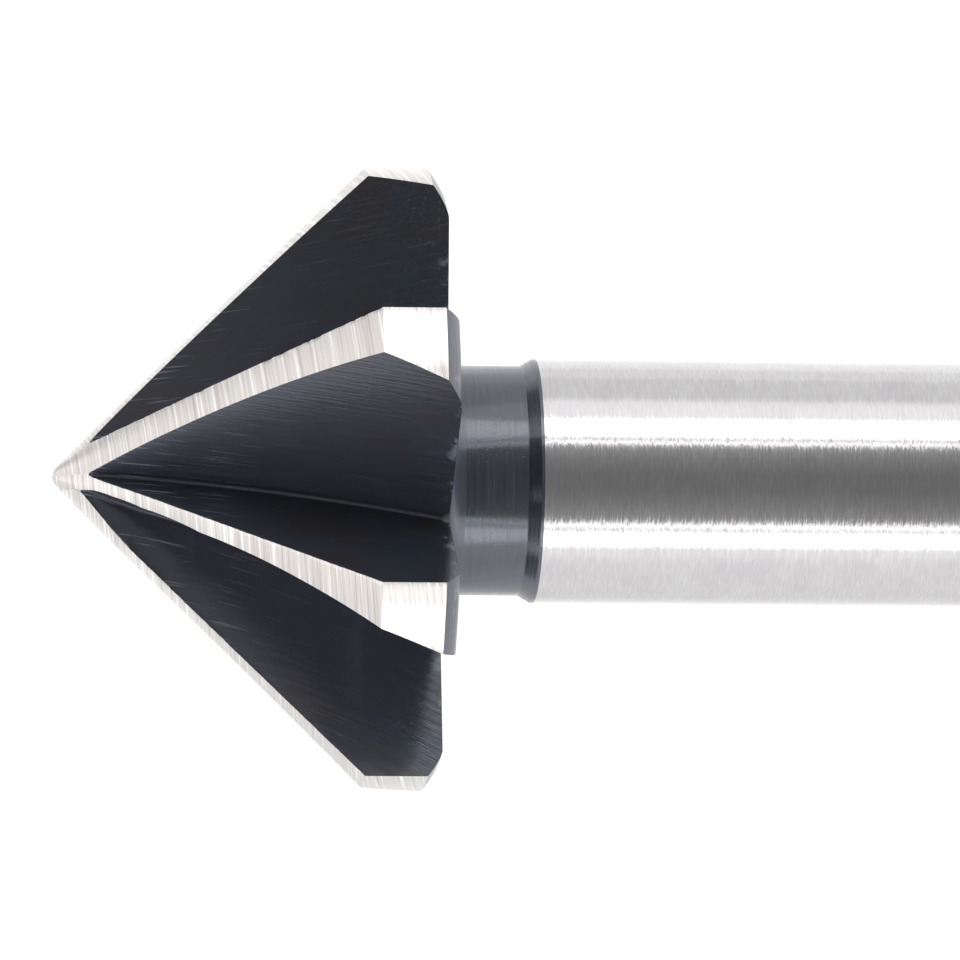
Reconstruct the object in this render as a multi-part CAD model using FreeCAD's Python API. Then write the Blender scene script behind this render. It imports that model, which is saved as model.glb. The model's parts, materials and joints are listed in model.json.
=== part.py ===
import FreeCAD, Part
import math
import os
from FreeCAD import Vector

# Seven-flute countersink bit, one piece of high speed steel, in millimetres.
# It is modelled along +X with the apex of its cone at the origin, and then laid down as it rests.

# Head
head_diameter = 20.5
point_angle = 90.0
margin_length = 2.05
bevel_length = 0.5
bevel_depth = 0.9
point_radius = 0.45
solid_point_length = 0.9

# Neck and shank
neck_diameter = 7.54
neck_length = 2.7
neck_fillet_radius = 0.5
shoulder_length = 0.4
shank_diameter = 8.0
shank_chamfer = 0.6
overall_length = 63.0

# Flutes, each ground by the rim of a wheel whose flat side leaves the rake face
# and whose conical side leaves the back of the next tooth
flute_count = 7
rake_offset = 0.55
wheel_radius = 40.0
wheel_angle = 64.6
root_radius_at_rear = 4.87
root_slope_at_rear = 26.6
flute_corner_radius = 0.08

# Relief: how far the centre of each land's circle lies ahead of the bit's axis at full diameter
relief_offset = 0.1

# Worked out from the sizes above
head_radius = head_diameter / 2
neck_radius = neck_diameter / 2
shank_radius = shank_diameter / 2
half_angle = math.radians(point_angle / 2)
cone_slope = math.tan(half_angle)
corner_at = head_radius / cone_slope
margin_end = corner_at + margin_length
rear_at = margin_end + bevel_length
neck_end = rear_at + neck_length
shank_start = neck_end + shoulder_length
shank_rim = overall_length - shank_chamfer
flute_pitch = math.radians(360.0 / flute_count)
edge_angle = math.asin(rake_offset / head_radius)

AXIS = Vector(1, 0, 0)
ORIGIN = Vector(0, 0, 0)
WHEEL_AXIS = Vector(0, 0, 1)
VERTEX_TOLERANCE = 0.001
# Each tooth blank is this much thicker than its rake face asks, and the flute grinds it off
GRINDING_STOCK = 0.05
stock_at = rake_offset + GRINDING_STOCK


def at(along, radius, angle=0.0):
    """A point from its place along the axis, its distance from it and its angle, which grows as the bit cuts."""
    return Vector(along, -radius * math.cos(angle), radius * math.sin(angle))


def line(start, end):
    return Part.LineSegment(start, end).toShape()


def arc(start, middle, end):
    return Part.Arc(start, middle, end).toShape()


def turned(edges, base=ORIGIN, axis=AXIS):
    """The solid that a closed profile sweeps about an axis."""
    face = Part.Face(Part.Wire(edges))
    return face.revolve(base, axis, 360)


def turned_core():
    """The rounded point, the centre of the head, the neck and the shank."""
    point_centre = point_radius / math.sin(half_angle)
    tangent = point_radius / cone_slope
    halfway = (math.pi / 2 - half_angle) / 2
    core_radius = stock_at / math.cos(flute_pitch / 2) + GRINDING_STOCK
    fillet_centre = at(rear_at + neck_fillet_radius, neck_radius + neck_fillet_radius)
    fillet_middle = fillet_centre + at(-neck_fillet_radius, -neck_fillet_radius) * math.sqrt(0.5)

    tip = at(point_centre - point_radius, 0)
    tip_middle = at(point_centre - point_radius * math.cos(halfway), point_radius * math.sin(halfway))
    cone_start = at(tangent * math.cos(half_angle), tangent * math.sin(half_angle))
    cone_end = at(solid_point_length, solid_point_length * cone_slope)
    core_start = at(solid_point_length, core_radius)
    core_end = at(rear_at, core_radius)
    fillet_start = at(rear_at, neck_radius + neck_fillet_radius)
    fillet_end = at(rear_at + neck_fillet_radius, neck_radius)
    shoulder_start = at(neck_end, neck_radius)
    shoulder_end = at(shank_start, shank_radius)
    rim = at(shank_rim, shank_radius)
    end_rim = at(overall_length, shank_radius - shank_chamfer)
    end = at(overall_length, 0)

    corners = [fillet_end, shoulder_start, shoulder_end, rim, end_rim, end, tip]
    return turned(
        [
            arc(tip, tip_middle, cone_start),
            line(cone_start, cone_end),
            line(cone_end, core_start),
            line(core_start, core_end),
            line(core_end, fillet_start),
            arc(fillet_start, fillet_middle, fillet_end),
        ]
        + [line(a, b) for a, b in zip(corners, corners[1:])]
    )


def land_circle(along, radius):
    """A circle of a tooth's relieved outside, moved ahead in step with its radius on the cone."""
    ahead = relief_offset * min(along / corner_at, 1.0)
    centre = at(along, ahead, edge_angle + math.pi / 2)
    return Part.Wire(Part.Circle(centre, AXIS, radius).toShape())


def tooth():
    """One relieved tooth before its flutes are ground, out to both of their rake faces."""
    outside = Part.makeLoft(
        [
            land_circle(solid_point_length, solid_point_length * cone_slope),
            land_circle(corner_at, head_radius),
            land_circle(margin_end, head_radius),
            land_circle(rear_at, head_radius - bevel_depth),
        ],
        True,
        True,
    )
    reach = 4 * head_radius
    inner = Vector(0, -stock_at * math.tan(flute_pitch / 2), stock_at)
    corners = [inner, inner + at(0, reach), inner + at(0, reach, -flute_pitch), inner]
    sector = Part.Face(Part.makePolygon(corners)).extrude(AXIS * overall_length)
    return outside.common(sector)


def wheel():
    """The part of the grinding wheel that leaves one flute."""
    angle = math.radians(wheel_angle)
    slope = math.radians(root_slope_at_rear)
    centre_at = rear_at - wheel_radius * math.sin(slope)
    centre_out = root_radius_at_rear + wheel_radius * math.cos(slope)
    depth = head_radius
    setback = flute_corner_radius / math.tan(angle / 2)

    def on_wheel(radius, ahead):
        return Vector(centre_at, radius - centre_out, rake_offset + ahead)

    corner_centre = on_wheel(wheel_radius - setback, flute_corner_radius)
    towards_rim = on_wheel(wheel_radius, 0) - corner_centre
    flat_centre = on_wheel(0, 0)
    flat_rim = on_wheel(wheel_radius - setback, 0)
    corner_middle = corner_centre + towards_rim.normalize() * flute_corner_radius
    cone_rim = on_wheel(wheel_radius - setback * math.cos(angle), setback * math.sin(angle))
    cone_top = on_wheel(wheel_radius - depth / math.tan(angle), depth)
    top_centre = on_wheel(0, depth)
    return turned(
        [
            line(flat_centre, flat_rim),
            arc(flat_rim, corner_middle, cone_rim),
            line(cone_rim, cone_top),
            line(cone_top, top_centre),
            line(top_centre, flat_centre),
        ],
        flat_centre,
        WHEEL_AXIS,
    )


def around(shape):
    """Copies of a shape, one for each flute, evenly spaced about the axis."""
    copies = []
    for number in range(flute_count):
        copy = shape.copy()
        copy.rotate(ORIGIN, AXIS, -math.degrees(number * flute_pitch))
        copies.append(copy)
    return copies


def countersink_bit():
    blank = turned_core().multiFuse(around(tooth()))
    return blank.cut(around(wheel())).removeSplitter()


def bearing_teeth(bit):
    """Distance and angle from the axis of the line that joins two teeth's rear corners across a flute."""
    rim = [v.Point for v in bit.Vertexes if abs(v.Point.x - margin_end) < VERTEX_TOLERANCE]
    rim.sort(key=lambda p: math.atan2(p.z, -p.y))
    across = max(zip(rim, rim[1:]), key=lambda pair: pair[0].distanceToPoint(pair[1]))
    along = (across[1] - across[0]).normalize()
    foot = across[0] - along * (across[0] - at(margin_end, 0)).dot(along)
    return math.hypot(foot.y, foot.z), math.atan2(foot.z, -foot.y)


def laid_down(bit):
    """The bit at rest: one flute faces down, and the teeth beside it and the rim of the shank's end carry it."""
    distance, angle = bearing_teeth(bit)
    tilt = math.atan2(distance - shank_radius, shank_rim - margin_end)
    resting = bit.copy()
    resting.rotate(ORIGIN, AXIS, math.degrees(angle + math.pi / 2))
    resting.rotate(ORIGIN, Vector(0, 1, 0), math.degrees(tilt))
    box = resting.optimalBoundingBox(False, False)
    resting.translate(Vector(-box.Center.x, -box.Center.y, -box.ZMin))
    return resting


bit = laid_down(countersink_bit())
os.makedirs("parts", exist_ok=True)
bit.Solids[0].exportStep("parts/countersink_bit.step")
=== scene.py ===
import json
import math

import bmesh
import bpy
from mathutils import Matrix, Vector


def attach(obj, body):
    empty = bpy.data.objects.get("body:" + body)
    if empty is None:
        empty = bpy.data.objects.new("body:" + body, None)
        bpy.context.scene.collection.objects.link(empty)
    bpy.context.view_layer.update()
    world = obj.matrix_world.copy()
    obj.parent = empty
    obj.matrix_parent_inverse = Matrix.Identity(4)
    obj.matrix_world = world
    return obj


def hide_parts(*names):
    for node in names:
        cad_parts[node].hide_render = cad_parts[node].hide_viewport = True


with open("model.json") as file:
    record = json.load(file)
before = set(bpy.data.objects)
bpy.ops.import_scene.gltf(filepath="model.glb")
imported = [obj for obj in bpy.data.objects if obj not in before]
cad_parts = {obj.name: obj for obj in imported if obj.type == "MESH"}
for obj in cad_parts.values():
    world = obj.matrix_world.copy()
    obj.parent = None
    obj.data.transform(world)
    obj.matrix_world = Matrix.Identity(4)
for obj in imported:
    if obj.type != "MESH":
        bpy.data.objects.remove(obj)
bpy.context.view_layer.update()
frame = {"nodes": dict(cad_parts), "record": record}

# A seven-flute countersink bit of high speed steel, which lies on two of its teeth and the end of its shank.
# Its lands and its shank are ground bright, and its flutes, its rear and its neck are black oxide.
# Lengths are in metres and angles in radians, unless a name says otherwise.
MM = 0.001
NODE = "countersink_bit"

# The head, measured along the axis from the apex of its cone
HEAD_RADIUS = 10.25 * MM
CORNER_AT = 10.25 * MM
MARGIN_END = 12.3 * MM
REAR_AT = 12.8 * MM
BEVEL_DEPTH = 0.9 * MM
BEVEL_ROUNDING = 0.35
BEVEL_STEPS = 14
POINT_RADIUS = 0.45 * MM
HALF_POINT_ANGLE = math.radians(45)
RELIEF_OFFSET = 0.1 * MM

# Flutes: each is the print of a grinding wheel, whose flat side leaves the rake face
FLUTE_COUNT = 7
PITCH = 2 * math.pi / FLUTE_COUNT
RAKE_OFFSET = 0.55 * MM
WHEEL_RADIUS = 40 * MM
WHEEL_ANGLE = math.radians(64.6)
ROOT_RADIUS_AT_REAR = 4.87 * MM
ROOT_SLOPE_AT_REAR = math.radians(26.6)
FLUTE_CORNER_RADIUS = 0.08 * MM

# Neck and shank
NECK_RADIUS = 3.77 * MM
NECK_END = 15.5 * MM
SHANK_START = 15.9 * MM
OXIDE_END = 16.0 * MM
SHANK_RADIUS = 4 * MM
OVERALL_LENGTH = 63 * MM
SHANK_CHAMFER = 0.6 * MM
NECK_FILLET_RADIUS = 0.5 * MM
SOFTENED_CORNER = 0.08 * MM

# Mesh: rows of points along the bit and columns round one tooth
HEAD_ROW_STEP = 0.05 * MM
SHANK_ROW_STEP = 1.5 * MM
RAKE_STEPS = 9
ROOT_STEPS = 4
FLANK_STEPS = 14
LAND_STEPS = 10
FLUTE_STEPS = RAKE_STEPS + ROOT_STEPS + FLANK_STEPS
EDGE_LOOPS = (0.025 * MM, 0.07 * MM, 0.16 * MM)
ROOM_FOR_LOOPS = 1.0 * MM
POINT_STEPS = 6
OPENING_ROWS_MM = (0, 0.015, 0.04, 0.07, 0.11, 0.16, 0.22)
OPENING_ROWS_WITHOUT_NICKS = 3
REAR_ROWS = (0.004, 0.02, 0.08, 0.22, 0.42, 0.62, 0.8, 0.93)
CORNER_STEPS = 5
END_FACE_ROWS = (0.7, 0.45, 0.2, 0)
WELD_DISTANCE = 0.0005 * MM
SHARP_ANGLE = math.radians(24)

# Searches over the wheel's profile for the places where a flute starts and ends
HALVINGS = 50
ROOT_TRIES = 40
RAKE_REACH = 12 * MM
FLANK_REACH = 14 * MM
FLUTE_START_RANGE = (0.8 * MM, 2.0 * MM)

# Nicks in the cutting edges
NICK_DEPTH = 0.1 * MM
NICKS_PER_MM = 2.2
NICK_THRESHOLD = 0.47
NICK_REACH_MM = 0.06
NICK_SEED = 4.0

# One flute is ground deeper near the point: how far its heel and its cutting edge are turned on, in degrees,
# at places along the axis in millimetres, how much nearer to the apex it opens, and between which places that
# shift rises and falls again
DEEP_FLUTE = 6
DEEP_HEEL = [(0.5, 0), (1.1, 22), (1.7, 22), (2.25, 16), (3.0, 10.5)]
DEEP_HEEL += [(4.74, 5), (7.9, 1.9), (9.5, 0.6), (10.25, 0)]
DEEP_EDGE = [(0.5, 0), (1.1, 22), (1.45, 20), (1.7, 11), (2.1, 3), (2.6, 0), (10.25, 0)]
DEEP_START_MM = 0.3
DEEP_START_REACH = math.radians(40)
DEEP_START_RISE_MM = (0.45, 1.3)
DEEP_START_FALL_MM = (1.4, 3.4)

# Marks: how far apart the teeth take theirs from the same pattern, and how far the gloss is drawn out
MARKS_APART_MM = 17.0
DRAWN_OUT = 0.9

# The camera, fitted to the photograph. It stands 64 degrees up round the bit's axis from level,
# so that it sees the teeth that the photograph shows, and the point is a little nearer than the shank.
PICTURE_PIXELS = 960
SENSOR_WIDTH_MM = 36
CAMERA_DISTANCE = 438.6 * MM
PIXELS_PER_MM_AT_APEX = 30.59
APEX_RIGHT = -14.18 * MM
APEX_UP = 0.116 * MM
POINT_NEARER = math.radians(5.38)
POINT_HIGHER = math.radians(0.528)
CAMERA_ROUND_AXIS = math.radians(64.3)
CAMERA_CLIP_START = 50 * MM


def lay_out():
    """Where the bit lies: its apex, its axis, the upward direction across the axis, and the turn round it
    that brings this mesh's cutting edges onto the CAD's."""
    shank = next(m for m in frame["record"]["mounts"] if m["name"] == "shank")
    axis = Vector(shank["axis"]).normalized()
    middle_at = (SHANK_START + OVERALL_LENGTH - SHANK_CHAMFER) / 2
    apex = Vector(shank["pos_m"]) - axis * middle_at
    up = Vector((0, 1, 0)).cross(axis) * -1
    corners = [v.co - apex for v in frame["nodes"][NODE].data.vertices]
    furthest = max(corners, key=lambda p: (p - axis * p.dot(axis)).length)
    edge_turn = math.atan2(furthest.dot(up), -furthest.y)
    edge = head_row(CORNER_AT)["section"][0]
    return apex, axis, up, (edge_turn - math.atan2(edge.y, edge.x)) % PITCH


def across_axis(up, turn):
    """The direction out from the axis at a turn, which is zero towards -Y and grows as the bit cuts."""
    return Vector((0, -1, 0)) * math.cos(turn) + up * math.sin(turn)


def crossing(function, low, high):
    """Where a function that changes sign between two values is zero."""
    rising = function(high) > 0
    for _ in range(HALVINGS):
        middle = (low + high) / 2
        if (function(middle) > 0) == rising:
            high = middle
        else:
            low = middle
    return (low + high) / 2


# Where the wheel stands over a flute, and the rounded corner of its profile
WHEEL_ALONG = REAR_AT - WHEEL_RADIUS * math.sin(ROOT_SLOPE_AT_REAR)
WHEEL_OUT = ROOT_RADIUS_AT_REAR + WHEEL_RADIUS * math.cos(ROOT_SLOPE_AT_REAR)
SETBACK = FLUTE_CORNER_RADIUS / math.tan(WHEEL_ANGLE / 2)
ROOT_ARC = FLUTE_CORNER_RADIUS * (math.pi - WHEEL_ANGLE)


def wheel_point(path):
    """A point of the wheel's profile: its distance from the wheel's axis and from its flat side.
    The path is zero where the flat side ends, and grows over the rounded corner and up the conical side."""
    if path < 0:
        return WHEEL_RADIUS - SETBACK + path, 0.0
    if path < ROOT_ARC:
        turn = path / FLUTE_CORNER_RADIUS
        reach = WHEEL_RADIUS - SETBACK + FLUTE_CORNER_RADIUS * math.sin(turn)
        return reach, FLUTE_CORNER_RADIUS * (1 - math.cos(turn))
    beyond = path - ROOT_ARC
    reach = WHEEL_RADIUS - (SETBACK + beyond) * math.cos(WHEEL_ANGLE)
    return reach, (SETBACK + beyond) * math.sin(WHEEL_ANGLE)


def flute_point(path, along):
    """Where the wheel's profile cuts a cross-section: out along the rake face, and ahead of the axis."""
    reach, ahead = wheel_point(path)
    out = WHEEL_OUT - math.sqrt(reach**2 - (along - WHEEL_ALONG) ** 2)
    return Vector((out, RAKE_OFFSET + ahead))


def lowest_path(along):
    """The path to the bottom of the flute."""
    paths = (ROOT_ARC * step / ROOT_TRIES for step in range(ROOT_TRIES + 1))
    return min(paths, key=lambda path: flute_point(path, along).length)


FLUTE_START = crossing(
    lambda along: along - flute_point(lowest_path(along), along).length, *FLUTE_START_RANGE
)
START_DIRECTION = flute_point(lowest_path(FLUTE_START), FLUTE_START)


def turned_by(point, turn):
    """A point of a cross-section, turned about the axis."""
    return Matrix.Rotation(turn, 2) @ point


def land_circle(along, tooth):
    """The circle that holds a tooth's land: its centre, moved ahead to give relief, and its radius."""
    ahead = RELIEF_OFFSET * min(max((along - FLUTE_START) / (CORNER_AT - FLUTE_START), 0), 1)
    edge_turn = math.asin(RAKE_OFFSET / HEAD_RADIUS)
    centre = turned_by(Vector((0, ahead)), edge_turn + tooth * PITCH)
    part = min(max((along - MARGIN_END) / (REAR_AT - MARGIN_END), 0), 1)
    rounded = 1 - math.sqrt(1 - part**2)
    bevel = BEVEL_DEPTH * (part + (rounded - part) * BEVEL_ROUNDING)
    return centre, min(along, HEAD_RADIUS) - bevel


def beyond_land(point, along, tooth):
    """How far a point of a cross-section lies outside a tooth's land circle."""
    centre, radius = land_circle(along, tooth)
    return (point - centre).length - radius


def graded(length, steps, fine_start, fine_end):
    """Places from 0 to a length, with close support loops at its sharp ends."""
    scale = min(1, length / ROOM_FOR_LOOPS)
    loops = [loop * scale for loop in EDGE_LOOPS]
    start = [0.0] + loops if fine_start else [0.0]
    end = [length - loop for loop in reversed(loops)] + [length] if fine_end else [length]
    gaps = steps - len(start) - len(end) + 2
    first, last = start[-1], end[0]
    return start[:-1] + [first + (last - first) * step / gaps for step in range(gaps + 1)] + end[1:]


def opening_place(number):
    """The places of the close rows where the flutes open."""
    return FLUTE_START + OPENING_ROWS_MM[number] * MM


def head_row(along):
    """One cross-section of a flute and the land ahead of it, from a cutting edge to the next one.
    Each of its points has its path over the wheel, the wheel's swing there, its distance from a cutting edge
    and its share of the heel's moves."""
    centre, radius = land_circle(along, 1)
    if along <= FLUTE_START:
        first = last = lowest_path(FLUTE_START)
        edge = START_DIRECTION.normalized() * along
        heel = edge
    else:
        bottom = lowest_path(along)
        first = crossing(lambda p: beyond_land(flute_point(p, along), along, 0), bottom, -RAKE_REACH)
        last = crossing(lambda p: beyond_land(flute_point(p, along), along, 1), bottom, FLANK_REACH)
        edge = flute_point(first, along)
        heel = flute_point(last, along)
    rake_end = max(min(0, last), first)
    root_end = max(min(ROOT_ARC, last), first)
    rake = [first + place for place in graded(rake_end - first, RAKE_STEPS, True, False)]
    root = [rake_end + (root_end - rake_end) * step / ROOT_STEPS for step in range(1, ROOT_STEPS + 1)]
    flank = [root_end + place for place in graded(last - root_end, FLANK_STEPS, False, True)[1:]]
    paths = rake + root + flank
    if along <= FLUTE_START:
        section = [edge] * len(paths)
    else:
        section = [flute_point(path, along) for path in paths]

    next_edge = turned_by(edge, PITCH)
    heel_turn = math.atan2((heel - centre).y, (heel - centre).x)
    edge_turn = math.atan2((next_edge - centre).y, (next_edge - centre).x)
    width = radius * (edge_turn - heel_turn)
    places = graded(width, LAND_STEPS, True, True)[1:]
    section += [centre + turned_by(Vector((radius, 0)), heel_turn + place / radius) for place in places]
    on_cone = opening_place(OPENING_ROWS_WITHOUT_NICKS) <= along <= CORNER_AT - WELD_DISTANCE
    blunt = 0 if on_cone else MM
    to_cut = [path - first + blunt for path in paths] + [width - place + blunt for place in places]
    run = max(rake_end - first, WELD_DISTANCE)
    share = [min((path - first) / run, 1) for path in paths] + [1 - place / width for place in places]
    swings = [WHEEL_RADIUS * math.asin((along - WHEEL_ALONG) / wheel_point(path)[0]) for path in paths]
    return {
        "along": along,
        "section": section,
        "paths": paths + [last + place for place in places],
        "swings": swings + [swings[-1]] * len(places),
        "to_cut": to_cut,
        "share": share,
    }


def stations(start, end, step):
    """Even places from a start, which is left out, to an end."""
    count = max(1, round((end - start) / step))
    return [start + (end - start) * number / count for number in range(1, count + 1)]


def head_rows():
    """Rows from the rounded point to the rear of the head, close together where the flutes open."""
    tangent = POINT_RADIUS * math.cos(HALF_POINT_ANGLE)
    opening = [opening_place(number) for number in range(len(OPENING_ROWS_MM))]
    along = stations(tangent, FLUTE_START, HEAD_ROW_STEP)[:-1] + opening
    along += stations(opening[-1], CORNER_AT, HEAD_ROW_STEP)
    along += stations(CORNER_AT, MARGIN_END, HEAD_ROW_STEP)
    for step in range(1, BEVEL_STEPS + 1):
        along.append(MARGIN_END + (REAR_AT - MARGIN_END) * math.sin(math.pi / 2 * step / BEVEL_STEPS))
    point_centre = POINT_RADIUS / math.sin(HALF_POINT_ANGLE)
    rows = []
    for step in range(POINT_STEPS + 1):
        turn = (math.pi / 2 - HALF_POINT_ANGLE) * step / POINT_STEPS
        row = head_row(tangent)
        scale = POINT_RADIUS * math.sin(turn) / tangent
        row["section"] = [point * scale for point in row["section"]]
        row["along"] = point_centre - POINT_RADIUS * math.cos(turn)
        rows.append(row)
    return rows + [head_row(place) for place in along]


def softened(corners):
    """A turned profile with an arc at each inner corner, from (along, radius, arc radius) corners."""
    profile = []
    for before, corner, after in zip(corners, corners[1:], corners[2:]):
        here = Vector(corner[:2])
        back = (Vector(before[:2]) - here).normalized()
        forth = (Vector(after[:2]) - here).normalized()
        half = back.angle(forth) / 2
        reach = corner[2] / math.tan(half)
        centre = here + (back + forth).normalized() * (corner[2] / math.sin(half))
        for step in range(CORNER_STEPS + 1):
            part = step / CORNER_STEPS
            on_chord = here + back * reach * (1 - part) + forth * reach * part
            profile.append(centre + (on_chord - centre).normalized() * corner[2])
    return profile


def turned_profile():
    """Along and radius of the neck, the shoulder and the shank, to the centre of the end face."""
    rim = OVERALL_LENGTH - SHANK_CHAMFER
    end_radius = SHANK_RADIUS - SHANK_CHAMFER
    corners = [
        (REAR_AT, NECK_RADIUS + 2 * NECK_FILLET_RADIUS, 0),
        (REAR_AT, NECK_RADIUS, NECK_FILLET_RADIUS),
        (NECK_END, NECK_RADIUS, SOFTENED_CORNER),
        (SHANK_START, SHANK_RADIUS, SOFTENED_CORNER),
        (rim, SHANK_RADIUS, SOFTENED_CORNER),
        (OVERALL_LENGTH, end_radius, SOFTENED_CORNER),
        (OVERALL_LENGTH, 0, 0),
    ]
    arcs = softened(corners)
    profile = []
    for start, end in zip(arcs, arcs[1:]):
        profile.append(start)
        for place in stations(0, (end - start).length, SHANK_ROW_STEP)[:-1]:
            profile.append(start + (end - start).normalized() * place)
    profile.append(arcs[-1])
    profile += [Vector((OVERALL_LENGTH, end_radius * part)) for part in END_FACE_ROWS]
    if not any(abs(point.x - OXIDE_END) < WELD_DISTANCE for point in profile):
        place = next(number for number, point in enumerate(profile) if point.x > OXIDE_END)
        profile.insert(place, Vector((OXIDE_END, SHANK_RADIUS)))
    return profile


def round_point(along, radius, turn):
    """A point of the mesh before it is laid down, from its place along the axis, its radius and its turn."""
    return Vector((along, -radius * math.cos(turn), radius * math.sin(turn)))


def tooth_rows():
    """All rows of one seventh of the bit, from the point to the centre of the end face.
    A row lists its points with their pattern coordinates, distance from a cutting edge and share of the
    heel's moves."""
    rows = []
    run = 0.0
    last = None
    for row in head_rows():
        radii = [point.length for point in row["section"]]
        here = Vector((row["along"], max(radii)))
        run += (here - last).length if last else 0
        last = here
        row["points"] = [Vector((row["along"], -point.x, point.y)) for point in row["section"]]
        row["run"] = run
        row["part"] = "bevel" if row["along"] > MARGIN_END + WELD_DISTANCE else "head"
        rows.append(row)

    rear = rows[-1]
    turns = [math.atan2(point.y, point.x) for point in rear["section"]]
    turns = [turn + 2 * math.pi if turn < turns[0] - WELD_DISTANCE else turn for turn in turns]
    even = [turns[0] + PITCH * column / (len(turns) - 1) for column in range(len(turns))]
    profile = turned_profile()

    def ring(along, radius, evened, part, run):
        blend = [turn + (other - turn) * evened for turn, other in zip(turns, even)]
        points = [round_point(along, radius, turn) for turn in blend]
        rows.append(
            {
                "points": points,
                "paths": [radius * turn for turn in blend],
                "to_cut": [MM] * len(points),
                "share": [0.0] * len(points),
                "run": run,
                "part": part,
            }
        )

    seat_radius = profile[0].y
    for part in REAR_ROWS:
        points = []
        for point, turn in zip(rear["points"], turns):
            points.append(point.lerp(round_point(REAR_AT, seat_radius, turn), part))
        distance = part * (HEAD_RADIUS - seat_radius)
        rows.append(dict(rear, points=points, run=run + distance, part="rear", to_cut=[MM] * len(points)))
    run = rows[-1]["run"]
    for place, point in enumerate(profile):
        before = profile[place - 1] if place else point
        run += (point - before).length
        evened = min(max((point.x - REAR_AT) / (NECK_END - REAR_AT), 0), 1)
        part = "neck" if point.x < OXIDE_END + WELD_DISTANCE else "shank"
        ring(point.x, point.y, evened, part, run)
    return rows


def one_seventh():
    """A mesh of one tooth with its flute and its share of the neck and the shank.
    Its grinding map runs across the grinding lines first and along them second, in millimetres."""
    rows = tooth_rows()
    body = bmesh.new()
    grinding = body.loops.layers.uv.new("grinding")
    oxide = body.faces.layers.bool.new("oxide")
    land = body.faces.layers.bool.new("land")
    to_cut = body.verts.layers.float.new("to_cutting_edge_mm")
    share = body.verts.layers.float.new("heel_share")
    grid = []
    for row in rows:
        grid.append([body.verts.new(point) for point in row["points"]])
        for vertex, distance, part in zip(grid[-1], row["to_cut"], row["share"]):
            vertex[to_cut] = distance / MM
            vertex[share] = part
    for number, (row, after) in enumerate(zip(rows, rows[1:])):
        for column in range(len(row["points"]) - 1):
            corners = [(row, number, column), (after, number + 1, column)]
            corners += [(after, number + 1, column + 1), (row, number, column + 1)]
            face = body.faces.new([grid[r][c] for _, r, c in corners])
            in_flute = after["part"] in ("head", "bevel") and column < FLUTE_STEPS
            face[oxide] = in_flute or after["part"] in ("bevel", "rear", "neck")
            face[land] = after["part"] == "head" and not in_flute
            for loop, (source, _, c) in zip(face.loops, corners):
                if in_flute:
                    loop[grinding].uv = (source["paths"][c] / MM, source["swings"][c] / MM)
                else:
                    loop[grinding].uv = (source["run"] / MM, source["paths"][c] / MM)
    bmesh.ops.remove_doubles(body, verts=body.verts, dist=WELD_DISTANCE)
    mesh = bpy.data.meshes.new("one tooth")
    body.to_mesh(mesh)
    body.free()
    return mesh


def add(tree, kind, inputs=None, **settings):
    """Adds a node with its settings. Each input is a value, or a socket that is linked to it."""
    node = tree.nodes.new(kind)
    for name, value in settings.items():
        setattr(node, name, value)
    for key, value in (inputs or {}).items():
        if isinstance(value, bpy.types.NodeSocket):
            tree.links.new(value, node.inputs[key])
        else:
            node.inputs[key].default_value = value
    return node


def maths(tree, operation, *values):
    """The result of a Math node, from numbers or sockets."""
    return add(tree, "ShaderNodeMath", dict(enumerate(values)), operation=operation).outputs[0]


def ranged(tree, value, low, high, to_low, to_high, **settings):
    """A value carried from one range to another, and held at its ends."""
    inputs = {"Value": value, "From Min": low, "From Max": high, "To Min": to_low, "To Max": to_high}
    return add(tree, "ShaderNodeMapRange", inputs, **settings).outputs[0]


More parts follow.
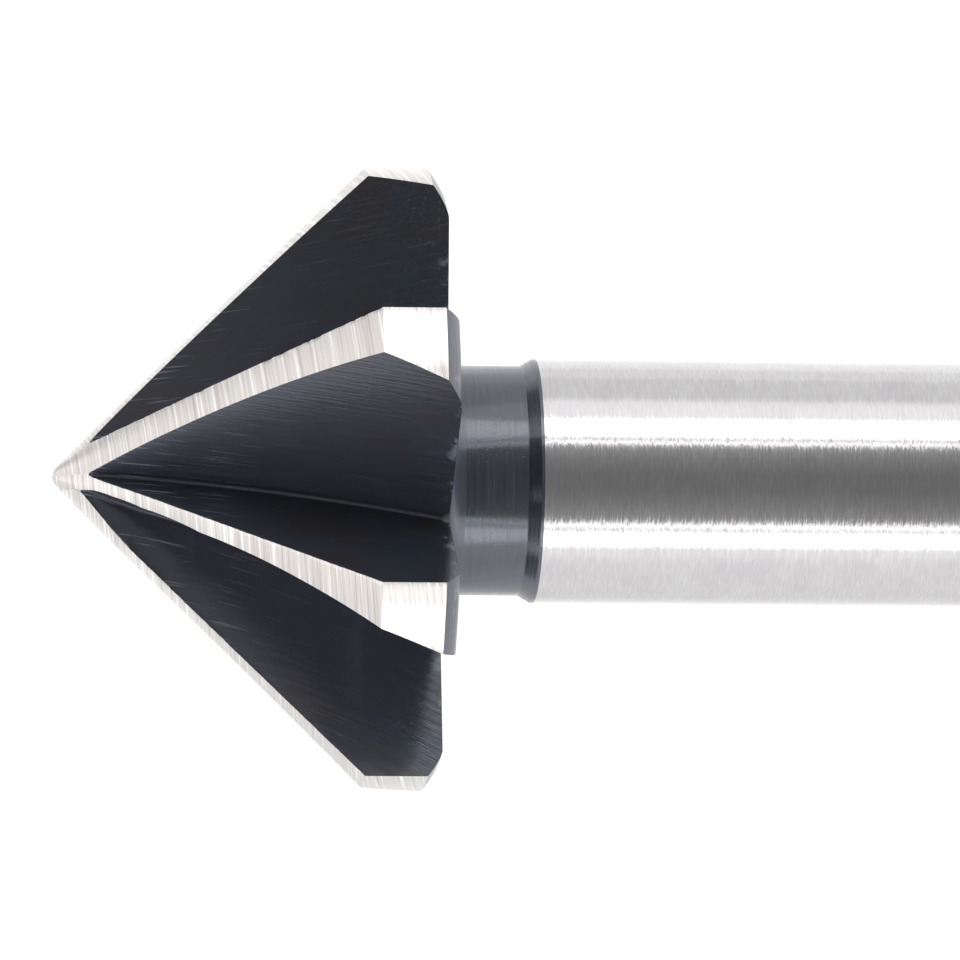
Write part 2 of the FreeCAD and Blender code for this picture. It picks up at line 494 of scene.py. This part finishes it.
def repeat_tree(shank, lands, oxide):
    """The tree that repeats one tooth round the axis, welds the copies and nicks their cutting edges."""
    tree = bpy.data.node_groups.new("teeth round the axis", "GeometryNodeTree")
    face = tree.interface
    face.new_socket("Tooth", in_out="INPUT", socket_type="NodeSocketGeometry")
    face.new_socket("Teeth", in_out="INPUT", socket_type="NodeSocketInt")
    for name in ("Pitch", "Nick Depth", "Nick Seed"):
        face.new_socket(name, in_out="INPUT", socket_type="NodeSocketFloat")
    face.new_socket("Bit", in_out="OUTPUT", socket_type="NodeSocketGeometry")
    given = add(tree, "NodeGroupInput").outputs

    index = add(tree, "GeometryNodeInputIndex").outputs[0]
    turn = maths(tree, "MULTIPLY", index, given["Pitch"])
    back = maths(tree, "MULTIPLY", turn, -1.0)
    euler = add(tree, "ShaderNodeCombineXYZ", {"X": back}).outputs[0]
    rotation = add(tree, "FunctionNodeEulerToRotation", {0: euler}).outputs[0]
    places = add(tree, "GeometryNodePoints", {"Count": given["Teeth"]}).outputs[0]
    inputs = {"Points": places, "Instance": given["Tooth"], "Rotation": rotation}
    copies = add(tree, "GeometryNodeInstanceOnPoints", inputs).outputs[0]
    solid = add(tree, "GeometryNodeRealizeInstances", {0: copies}).outputs[0]

    size = add(tree, "GeometryNodeAttributeDomainSize", {0: given["Tooth"]}, component="MESH").outputs
    number = maths(tree, "FLOOR", maths(tree, "DIVIDE", index, size["Face Count"]))
    inputs = {"Geometry": solid, "Name": "tooth", "Value": number}
    numbered = add(
        tree, "GeometryNodeStoreNamedAttribute", inputs, data_type="FLOAT", domain="FACE"
    ).outputs[0]
    inputs = {"Geometry": numbered, "Distance": WELD_DISTANCE}
    welded = add(tree, "GeometryNodeMergeByDistance", inputs).outputs[0]

    to_cut = add(
        tree, "GeometryNodeInputNamedAttribute", {"Name": "to_cutting_edge_mm"}, data_type="FLOAT"
    ).outputs[0]
    near = ranged(tree, to_cut, 0.0, NICK_REACH_MM, 1.0, 0.0, interpolation_type="SMOOTHSTEP")
    position = add(tree, "GeometryNodeInputPosition").outputs[0]
    inputs = {"Vector": position, "W": given["Nick Seed"], "Scale": NICKS_PER_MM / MM}
    inputs |= {"Detail": 4.0, "Roughness": 0.75}
    rough = add(tree, "ShaderNodeTexNoise", inputs, noise_dimensions="4D").outputs[0]
    deep = ranged(tree, rough, NICK_THRESHOLD, 1.0, 0.0, 1.0)
    depth = maths(tree, "MULTIPLY", maths(tree, "MULTIPLY", near, deep), given["Nick Depth"])
    inward = maths(tree, "MULTIPLY", depth, -1.0)
    normal = add(tree, "GeometryNodeInputNormal").outputs[0]
    offset = add(tree, "ShaderNodeVectorMath", {0: normal, "Scale": inward}, operation="SCALE").outputs[0]
    nicked = add(tree, "GeometryNodeSetPosition", {"Geometry": welded, "Offset": offset}).outputs[0]

    whole = add(tree, "GeometryNodeRealizeInstances", {0: nicked}).outputs[0]
    finished = add(tree, "GeometryNodeSetMaterial", {"Geometry": whole, "Material": shank}).outputs[0]
    for name, material in (("land", lands), ("oxide", oxide)):
        chosen = add(tree, "GeometryNodeInputNamedAttribute", {"Name": name}, data_type="BOOLEAN").outputs[0]
        inputs = {"Geometry": finished, "Selection": chosen, "Material": material}
        finished = add(tree, "GeometryNodeSetMaterial", inputs).outputs[0]
    add(tree, "NodeGroupOutput", {"Bit": finished})
    return tree


def smooth(value, low, high):
    """A share that rises from 0 to 1 between two values, and is level at both ends."""
    part = min(max((value - low) / (high - low), 0), 1)
    return part * part * (3 - 2 * part)


def interpolated(stops, place):
    """The value at a place, from (place, value) stops, and 0 outside them."""
    for (low, value), (high, other) in zip(stops, stops[1:]):
        if low <= place < high:
            return value + (other - value) * (place - low) / (high - low)
    return 0.0


def deepen(mesh):
    """Opens one flute wider and nearer to the point, as a wheel leaves it that was fed a little too deep.
    The marks on the lands stay where they were."""
    tooth = [round(value.value) for value in mesh.attributes["tooth"].data]
    land = [value.value for value in mesh.attributes["land"].data]
    share = [value.value for value in mesh.attributes["heel_share"].data]
    turns = {}
    for face in mesh.polygons:
        if land[face.index] and tooth[face.index] in (DEEP_FLUTE, DEEP_FLUTE - 1):
            for index in face.vertices:
                along = mesh.vertices[index].co.x / MM
                if tooth[face.index] == DEEP_FLUTE:
                    turns[index] = interpolated(DEEP_HEEL, along) * share[index]
                else:
                    turns.setdefault(index, interpolated(DEEP_EDGE, along) * (1 - share[index]))
    for face in mesh.polygons:
        if tooth[face.index] == DEEP_FLUTE and not land[face.index]:
            for index in face.vertices:
                along = mesh.vertices[index].co.x / MM
                at_edge = interpolated(DEEP_EDGE, along)
                turns[index] = at_edge + (interpolated(DEEP_HEEL, along) - at_edge) * share[index]

    start_turn = math.atan2(START_DIRECTION.y, START_DIRECTION.x) + DEEP_FLUTE * PITCH
    start_turn += math.radians(interpolated(DEEP_HEEL, FLUTE_START / MM))
    shifts = []
    for vertex in mesh.vertices:
        point = vertex.co
        along = point.x / MM
        point.rotate(Matrix.Rotation(-math.radians(turns.get(vertex.index, 0)), 3, "X"))
        turn = math.atan2(point.z, -point.y) - start_turn
        aside = abs((turn + math.pi) % (2 * math.pi) - math.pi)
        near = 1 - smooth(aside, 0, DEEP_START_REACH)
        near *= smooth(along, *DEEP_START_RISE_MM) * (1 - smooth(along, *DEEP_START_FALL_MM))
        shifts.append(DEEP_START_MM * near)
        vertex.co = point * (1 - DEEP_START_MM * near / max(along, POINT_RADIUS / MM))
    marks = mesh.uv_layers["grinding"].data
    for face in mesh.polygons:
        if land[face.index]:
            for corner, index in zip(face.loop_indices, face.vertices):
                along = mesh.vertices[index].co.x / MM
                marks[corner].uv.x -= shifts[index] / math.cos(HALF_POINT_ANGLE)
                marks[corner].uv.y += math.radians(turns.get(index, 0)) * along


def countersink(place):
    """The whole bit as one closed mesh in its place at rest."""
    source = bpy.data.objects.new("one tooth", one_seventh())
    bpy.context.scene.collection.objects.link(source)
    tree = repeat_tree(ground_shank(place), ground_lands(), black_oxide(place))
    sizes = {"Teeth": FLUTE_COUNT, "Pitch": PITCH, "Nick Depth": NICK_DEPTH, "Nick Seed": NICK_SEED}
    repeat = source.modifiers.new("teeth", "NODES")
    repeat.node_group = tree
    for socket in tree.interface.items_tree:
        if socket.name in sizes:
            repeat[socket.identifier] = sizes[socket.name]
    shown = source.evaluated_get(bpy.context.evaluated_depsgraph_get())
    mesh = bpy.data.meshes.new_from_object(shown)
    source.modifiers.remove(repeat)
    bpy.data.objects.remove(source)
    mesh.name = "countersink"
    deepen(mesh)
    mesh.transform(place)
    mesh.shade_smooth()
    mesh.set_sharp_from_angle(angle=SHARP_ANGLE)
    bit = bpy.data.objects.new("countersink", mesh)
    bpy.context.scene.collection.objects.link(bit)
    return bit


def colour(code):
    """An sRGB hex colour as linear RGBA."""
    parts = [int(code[start : start + 2], 16) / 255 for start in (1, 3, 5)]
    return [p / 12.92 if p <= 0.04045 else ((p + 0.055) / 1.055) ** 2.4 for p in parts] + [1.0]


def new_material(name):
    """A material, its tree and its one shader."""
    material = bpy.data.materials.new(name)
    material.use_nodes = True
    tree = material.node_tree
    tree.nodes.clear()
    shader = add(tree, "ShaderNodeBsdfPrincipled")
    add(tree, "ShaderNodeOutputMaterial", {"Surface": shader.outputs[0]})
    return material, tree, shader


def ramp(tree, factor, stops):
    """A colour ramp from (place, colour) stops."""
    made = add(tree, "ShaderNodeValToRGB", {"Fac": factor})
    elements = made.color_ramp.elements
    while len(elements) < len(stops):
        elements.new(0.5)
    for element, (place, shade) in zip(elements, stops):
        element.position = place
        element.color = shade
    return made.outputs[0]


def level(tree, value, ends, stops, brightest):
    """A strength that follows a value between two ends, from (value, strength) stops."""
    low, high = ends
    share = ranged(tree, value, low, high, 0.0, 1.0)
    greys = [((at - low) / (high - low), [strength / brightest] * 3 + [1.0]) for at, strength in stops]
    return maths(tree, "MULTIPLY", ramp(tree, share, greys), brightest)


def mixed(tree, share, colours):
    """The first of two colours, with a share of the second."""
    inputs = {0: share, 6: colours[0], 7: colours[1]}
    return add(tree, "ShaderNodeMix", inputs, data_type="RGBA").outputs[2]


def bit_coordinates(tree, place):
    """Object coordinates in millimetres in the bit's own frame, with X along its axis from the apex."""
    inputs = {"Vector": add(tree, "ShaderNodeTexCoord").outputs["Object"]}
    inputs |= {"Location": place.translation, "Rotation": place.to_euler(), "Scale": (MM, MM, MM)}
    return add(tree, "ShaderNodeMapping", inputs, vector_type="TEXTURE").outputs[0]


def lines(tree, vector, stretch, detail=2.0):
    """Noise drawn out into lines: the stretch gives its features per millimetre on each axis."""
    scaled = add(tree, "ShaderNodeVectorMath", {0: vector, 1: stretch}, operation="MULTIPLY")
    noise = add(tree, "ShaderNodeTexNoise", {"Vector": scaled.outputs[0], "Scale": 1.0, "Detail": detail})
    return noise.outputs[0]


def wheel_map(tree):
    """The grinding map: the path over the wheel in a flute, and the run along the bit elsewhere, as X."""
    return add(tree, "ShaderNodeUVMap", uv_map="grinding").outputs[0]


def ground_map(tree):
    """The grinding map, moved on for each tooth so that no two carry the same marks."""
    tooth = add(tree, "ShaderNodeAttribute", attribute_name="tooth").outputs["Fac"]
    apart = add(tree, "ShaderNodeCombineXYZ", {"X": tooth, "Y": tooth, "Z": tooth}).outputs[0]
    inputs = {0: apart, "Scale": MARKS_APART_MM}
    moved = add(tree, "ShaderNodeVectorMath", inputs, operation="SCALE").outputs[0]
    return add(tree, "ShaderNodeVectorMath", {0: wheel_map(tree), 1: moved}, operation="ADD").outputs[0]


def marked(tree, shader, height, depth):
    """Gives a surface its grinding marks, and the gloss that is drawn out across them."""
    bump = add(tree, "ShaderNodeBump", {"Height": height, "Strength": 1.0, "Distance": depth})
    across = add(tree, "ShaderNodeTangent", direction_type="UV_MAP", uv_map="grinding")
    tree.links.new(bump.outputs[0], shader.inputs["Normal"])
    tree.links.new(across.outputs[0], shader.inputs["Tangent"])
    shader.inputs["Anisotropic"].default_value = DRAWN_OUT


def ground_shank(place):
    """High speed steel, ground round between centres: satin, with short fine marks round the axis."""
    material, tree, shader = new_material("high speed steel, ground shank")
    here = bit_coordinates(tree, place)
    parts = add(tree, "ShaderNodeSeparateXYZ", {0: here}).outputs
    flat = add(tree, "ShaderNodeCombineXYZ", {"Y": parts["Y"], "Z": parts["Z"]}).outputs[0]
    # The distance from the axis is taken off, so that the marks ring the flat end as well
    out = add(tree, "ShaderNodeVectorMath", {0: flat}, operation="LENGTH").outputs["Value"]
    run = maths(tree, "SUBTRACT", parts["X"], out)
    round_axis = add(tree, "ShaderNodeCombineXYZ", {"X": run, "Y": parts["Y"], "Z": parts["Z"]}).outputs[0]
    streaks = lines(tree, round_axis, (17, 2.2, 2.2))
    cloud = lines(tree, here, (0.9, 0.7, 0.7))
    both = maths(tree, "MULTIPLY_ADD", cloud, 0.5, streaks)
    tint = ramp(tree, both, [(0.5, colour("#C1BFC2")), (0.75, colour("#C8C6C7")), (1.0, colour("#D0CFCF"))])
    tree.links.new(tint, shader.inputs["Base Color"])
    tree.links.new(ranged(tree, streaks, 0.3, 0.7, 0.13, 0.22), shader.inputs["Roughness"])
    shader.inputs["Metallic"].default_value = 1.0
    marked(tree, shader, streaks, 0.011 * MM)
    return material


def ground_lands():
    """High speed steel, relief ground: bright, with coarse wheel marks that lean over the land."""
    material, tree, shader = new_material("high speed steel, relief ground lands")
    inputs = {"Vector": ground_map(tree), "Rotation": (0, 0, math.radians(-9))}
    leaning = add(tree, "ShaderNodeMapping", inputs).outputs[0]
    passes = lines(tree, leaning, (8, 0.12, 1), detail=1.5)
    grit = lines(tree, leaning, (22, 0.5, 1))
    both = maths(tree, "MULTIPLY_ADD", grit, 0.6, passes)
    tints = [(0.58, "#B5AFAD"), (0.7, "#C9C4C1"), (0.86, "#CFCBC8"), (0.95, "#DEDBD8"), (1.0, "#F0EFEE")]
    tint = ramp(tree, both, [(share, colour(code)) for share, code in tints])
    tree.links.new(tint, shader.inputs["Base Color"])
    tree.links.new(ranged(tree, grit, 0.3, 0.7, 0.2, 0.3), shader.inputs["Roughness"])
    shader.inputs["Metallic"].default_value = 1.0
    marked(tree, shader, both, 0.0025 * MM)
    return material


def black_oxide(place):
    """Black oxide on ground steel: a satin blue-black film of magnetite that keeps the grinding lines."""
    material, tree, shader = new_material("black oxide on high speed steel")
    rear = REAR_AT / MM
    fillet_end = (REAR_AT + NECK_FILLET_RADIUS) / MM
    here = ground_map(tree)
    streaks = lines(tree, here, (9, 0.35, 1))
    grit = lines(tree, here, (30, 1.2, 1), detail=3.0)
    around = bit_coordinates(tree, place)
    along = add(tree, "ShaderNodeSeparateXYZ", {0: around}).outputs["X"]

    # The film, streaked with darker lines
    cloud = lines(tree, around, (0.5, 0.5, 0.5))
    film = ramp(tree, cloud, [(0.35, colour("#302B2D")), (0.5, colour("#2C2F34")), (0.65, colour("#2A303A"))])
    dark = ranged(tree, streaks, 0.35, 0.65, 0.0, 0.55)
    streaked = mixed(tree, dark, (film, colour("#121318")))

    # Scratches through it, most of them by the point, and rubbed spots at the rear rim of each tooth
    scratches = ranged(tree, lines(tree, here, (12, 0.4, 1), detail=1.0), 0.62, 0.72, 0.0, 1.0)
    by_point = ranged(tree, along, 2.5, 7.0, 1.0, 0.08)
    scratched = maths(tree, "MULTIPLY", scratches, by_point)
    spots = ranged(tree, lines(tree, around, (1.6, 1.6, 1.6), detail=3.0), 0.56, 0.64, 0.0, 1.0)
    by_rear = ranged(tree, along, rear - 0.4, rear - 0.05, 0.0, 0.6)
    ahead_of_rear = ranged(tree, along, rear - 0.02, rear - 0.005, 1.0, 0.0)
    rubbed = maths(tree, "MULTIPLY", spots, by_rear)
    worn = maths(tree, "MULTIPLY_ADD", rubbed, ahead_of_rear, scratched)
    marked_film = mixed(tree, worn, (streaked, colour("#868B93")))

    # A duller collar over the fillet behind the teeth, painted paler grey: a painted sheen for the light that
    # the fillet catches
    behind_teeth = ranged(tree, along, rear + 0.01, rear + 0.03, 0.0, 0.4)
    before_neck = ranged(tree, along, fillet_end + 0.1, fillet_end + 0.2, 1.0, 0.0)
    collar_painted_sheen = maths(tree, "MULTIPLY", behind_teeth, before_neck)
    # The paler grey #5A5D68 is painted sheen on the fillet, not a change in the film
    tint = mixed(tree, collar_painted_sheen, (marked_film, colour("#5A5D68")))
    tree.links.new(tint, shader.inputs["Base Color"])

    # Roughness: satin along the streaks, and more on turned faces, the collar and the roots of the flutes
    satin = ranged(tree, streaks, 0.3, 0.7, 0.12, 0.24)
    turned = ranged(tree, along, rear + 0.02, rear + 0.1, 0.0, 0.04)
    dull = maths(tree, "MULTIPLY_ADD", collar_painted_sheen, 0.3, maths(tree, "ADD", satin, turned))
    path = add(tree, "ShaderNodeSeparateXYZ", {0: wheel_map(tree)}).outputs["X"]
    from_root = maths(tree, "ABSOLUTE", maths(tree, "SUBTRACT", path, ROOT_ARC / MM / 2))
    root = ranged(tree, from_root, 0.06, 0.1, 0.25, 0.0)
    tree.links.new(maths(tree, "ADD", dull, root), shader.inputs["Roughness"])

    pits = ranged(tree, lines(tree, around, (11, 11, 11), detail=1.0), 0.64, 0.76, 0.0, -0.3)
    relief = maths(tree, "ADD", maths(tree, "MULTIPLY_ADD", grit, 0.5, pits), streaks)
    shader.inputs["Metallic"].default_value = 0.0
    shader.inputs["IOR"].default_value = 2.15
    shader.inputs["Specular Tint"].default_value = colour("#E4E8F7")
    marked(tree, shader, relief, 0.009 * MM)
    return material


def camera(apex, axis, up):
    """Places the camera from the photograph's view of the axis."""
    along = Vector(
        (
            math.cos(POINT_NEARER) * math.cos(POINT_HIGHER),
            math.sin(POINT_NEARER),
            -math.cos(POINT_NEARER) * math.sin(POINT_HIGHER),
        )
    )
    towards = Vector((0, -1, 0))
    near = (towards - along * towards.dot(along)).normalized()
    above = near.cross(along)
    seen = Matrix((along, near, above)).transposed()
    held = Matrix(
        (axis, across_axis(up, CAMERA_ROUND_AXIS), across_axis(up, CAMERA_ROUND_AXIS + math.pi / 2))
    ).transposed()
    to_world = held @ seen.inverted()
    place = apex - to_world @ Vector((APEX_RIGHT, CAMERA_DISTANCE, APEX_UP))
    right, away, over = (to_world @ Vector(way) for way in ((1, 0, 0), (0, 1, 0), (0, 0, 1)))
    turned = Matrix((right, over, -away)).transposed()
    data = bpy.data.cameras.new("camera")
    data.sensor_width = SENSOR_WIDTH_MM
    data.lens = SENSOR_WIDTH_MM * PIXELS_PER_MM_AT_APEX * CAMERA_DISTANCE / MM / PICTURE_PIXELS
    data.clip_start = CAMERA_CLIP_START
    made = bpy.data.objects.new("camera", data)
    made.matrix_world = Matrix.Translation(place) @ turned.to_4x4()
    bpy.context.scene.collection.objects.link(made)
    bpy.context.scene.camera = made


# The studio, as radiance by degrees round the bit's axis from the camera's direction: a dark gap for the
# camera, a soft box with a dark seam on each side of it, and pale walls. The point's end faces a white wall,
# which is brightest low in the picture. The room is darker beside that wall and by the shank's end.
# 1.0 is about the white of the floor.
BRIGHTEST = 2.9
STUDIO_STOPS = [
    (-180, 1.05),
    (-70, 1.0),
    (-69, 0.7),
    (-67.5, 2.9),
    (-48.5, 2.6),
    (-48.2, 0.4),
    (-46.4, 0.4),
    (-46.1, 2.4),
    (-41.5, 2.2),
    (-39, 0.42),
    (-22, 0.3),
    (-8, 0.24),
    (8, 0.24),
    (22, 0.31),
    (35, 0.44),
    (37, 2.2),
    (40.5, 2.4),
    (40.8, 0.4),
    (42.6, 0.4),
    (42.9, 2.6),
    (62.5, 2.9),
    (63.7, 0.7),
    (65, 1.45),
    (82, 1.4),
    (87, 1.0),
    (180, 0.95),
]
ROOM_BY_END = 0.4
ROOM_BY_SHANK = 0.7
END_WALL = 1.45
END_WALL_LOW_SIDE = 1.85

# The table's glow, by centimetres behind the middle of the bit, as the lands and the shank reflect it
FLOOR_BRIGHTEST = 1.2
FLOOR_EDGE_CM = 6.0
FLOOR_STOPS_CM = [
    (-6.0, 1.1),
    (-3.0, 0.95),
    (-1.6, 0.92),
    (-0.5, 0.92),
    (-0.35, 1.0),
    (0.3, 1.0),
    (0.8, 1.05),
    (3.2, 1.05),
    (3.8, 0.9),
]
FLOOR_RADIUS = 4.0


def studio():
    """Light for the whole scene, from a world that holds two long soft boxes along the bit."""
    world = bpy.data.worlds.new("studio")
    bpy.context.scene.world = world
    world.use_nodes = True
    tree = world.node_tree
    tree.nodes.clear()
    way = add(tree, "ShaderNodeTexCoord").outputs["Generated"]
    inputs = {"Vector": way, "Angle": CAMERA_ROUND_AXIS}
    turned = add(tree, "ShaderNodeVectorRotate", inputs, rotation_type="X_AXIS").outputs[0]
    parts = add(tree, "ShaderNodeSeparateXYZ", {0: turned}).outputs
    turn = maths(tree, "ARCTAN2", parts["Z"], maths(tree, "MULTIPLY", parts["Y"], -1.0))
    stops = [(math.radians(degrees), strength) for degrees, strength in STUDIO_STOPS]
    boxes = level(tree, turn, (-math.pi, math.pi), stops, BRIGHTEST)
    by_end = ranged(tree, parts["X"], -0.2, -0.5, 1.0, ROOM_BY_END)
    by_shank = ranged(tree, parts["X"], 0.4, 0.7, 1.0, ROOM_BY_SHANK)
    room = maths(tree, "MULTIPLY", boxes, maths(tree, "MULTIPLY", by_end, by_shank))
    end = ranged(tree, parts["X"], -0.72, -0.86, 0.0, 1.0)
    end_wall = ranged(tree, parts["Z"], -0.35, -0.05, END_WALL_LOW_SIDE, END_WALL)
    strength = add(tree, "ShaderNodeMix", {0: end, 2: room, 3: end_wall}, data_type="FLOAT").outputs[0]
    light = add(tree, "ShaderNodeBackground", {"Color": (1, 1, 1, 1), "Strength": strength})
    add(tree, "ShaderNodeOutputWorld", {"Surface": light.outputs[0]})


def floor():
    """A plain white table that glows a little, so that the bit throws hardly any shadow on it."""
    bpy.ops.mesh.primitive_circle_add(vertices=64, radius=FLOOR_RADIUS, fill_type="NGON")
    table = bpy.context.object
    table.name = "floor"
    material, tree, shader = new_material("white table")
    shader.inputs["Base Color"].default_value = colour("#8C8C8C")
    shader.inputs["Roughness"].default_value = 0.9
    shader.inputs["Specular IOR Level"].default_value = 0.0
    shader.inputs["Emission Color"].default_value = (1, 1, 1, 1)
    here = add(tree, "ShaderNodeTexCoord").outputs["Object"]
    behind = add(tree, "ShaderNodeSeparateXYZ", {0: here}).outputs["Y"]
    behind_cm = maths(tree, "MULTIPLY", behind, 100.0)
    glow = level(tree, behind_cm, (-FLOOR_EDGE_CM, FLOOR_EDGE_CM), FLOOR_STOPS_CM, FLOOR_BRIGHTEST)
    tree.links.new(glow, shader.inputs["Emission Strength"])
    table.data.materials.append(material)


apex, axis, up, first_turn = lay_out()
lean = Matrix((axis, Vector((0, 1, 0)), up)).transposed().to_4x4()
place = Matrix.Translation(apex) @ lean @ Matrix.Rotation(-first_turn, 4, "X")
camera(apex, axis, up)
studio()
floor()

bit = countersink(place)
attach(bit, "root")
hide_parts(NODE)

bpy.context.scene.view_settings.view_transform = "Standard"
